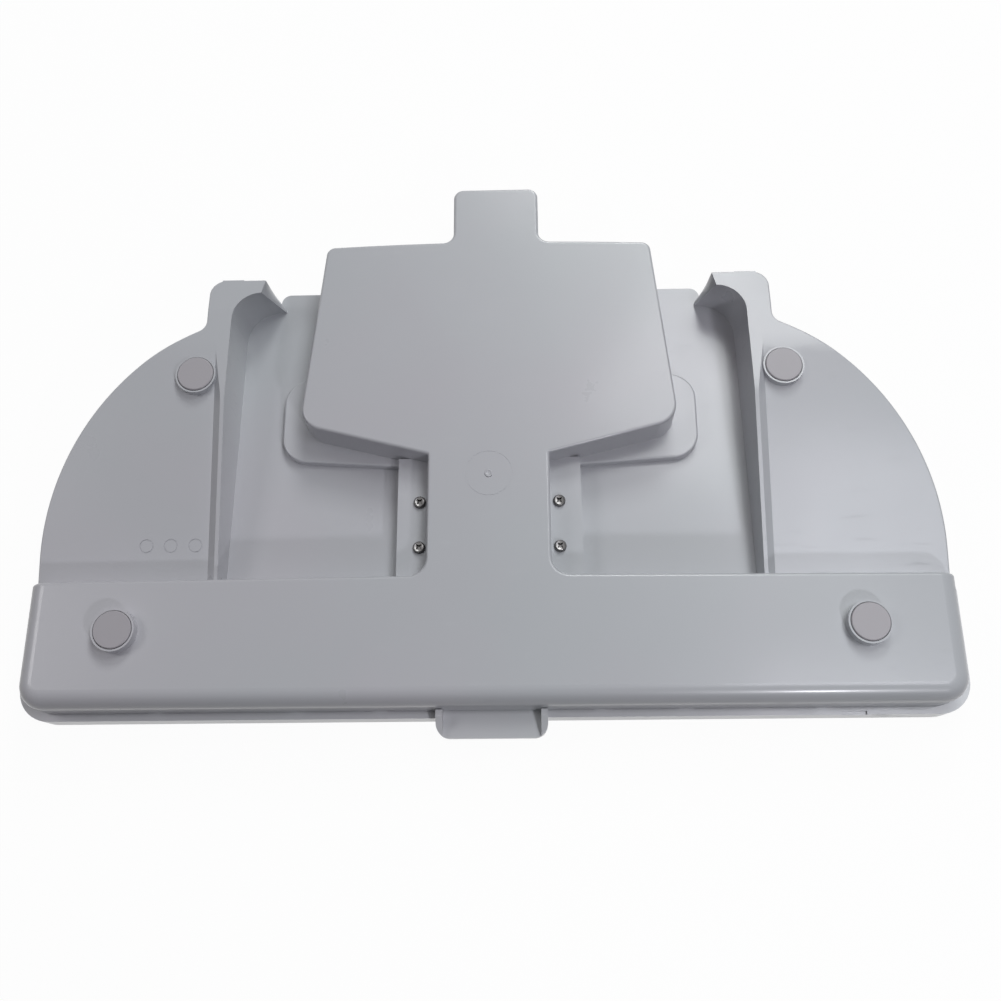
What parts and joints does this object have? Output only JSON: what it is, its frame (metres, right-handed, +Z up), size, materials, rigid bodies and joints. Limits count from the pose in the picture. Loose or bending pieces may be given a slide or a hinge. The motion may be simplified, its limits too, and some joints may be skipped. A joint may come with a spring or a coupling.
{
  "type": "robot vacuum base station tray",
  "caption": "Light grey moulded base tray of a robot vacuum station, lying face down, with round wings, a sump box, a rear spout, rubber feet and a pull handle.",
  "frame": {"origin": "centre of the tray on the surface that its face-down rim rests on", "axes": "+X along the front block, +Y from the pull handle to the rear spout, +Z up to the rubber feet"},
  "size_m": [0.4348, 0.2764, 0.0377],
  "materials": {
    "shell_plastic": "light grey moulded ABS with a soft gloss",
    "tray_plastic": "light grey moulded ABS with a soft gloss",
    "pad_rubber": "grey rubber, matte",
    "screw_steel": "plain steel"
  },
  "bodies": {
    "root": {"lower_shell": "shell_plastic", "upper_tray": "tray_plastic", "foot_pad_front_left": "pad_rubber", "foot_pad_front_right": "pad_rubber", "foot_pad_wing_left": "pad_rubber", "foot_pad_wing_right": "pad_rubber", "screw_front_left": "screw_steel", "screw_front_right": "screw_steel", "screw_rear_left": "screw_steel", "screw_rear_right": "screw_steel"}
  },
  "joints": []
}
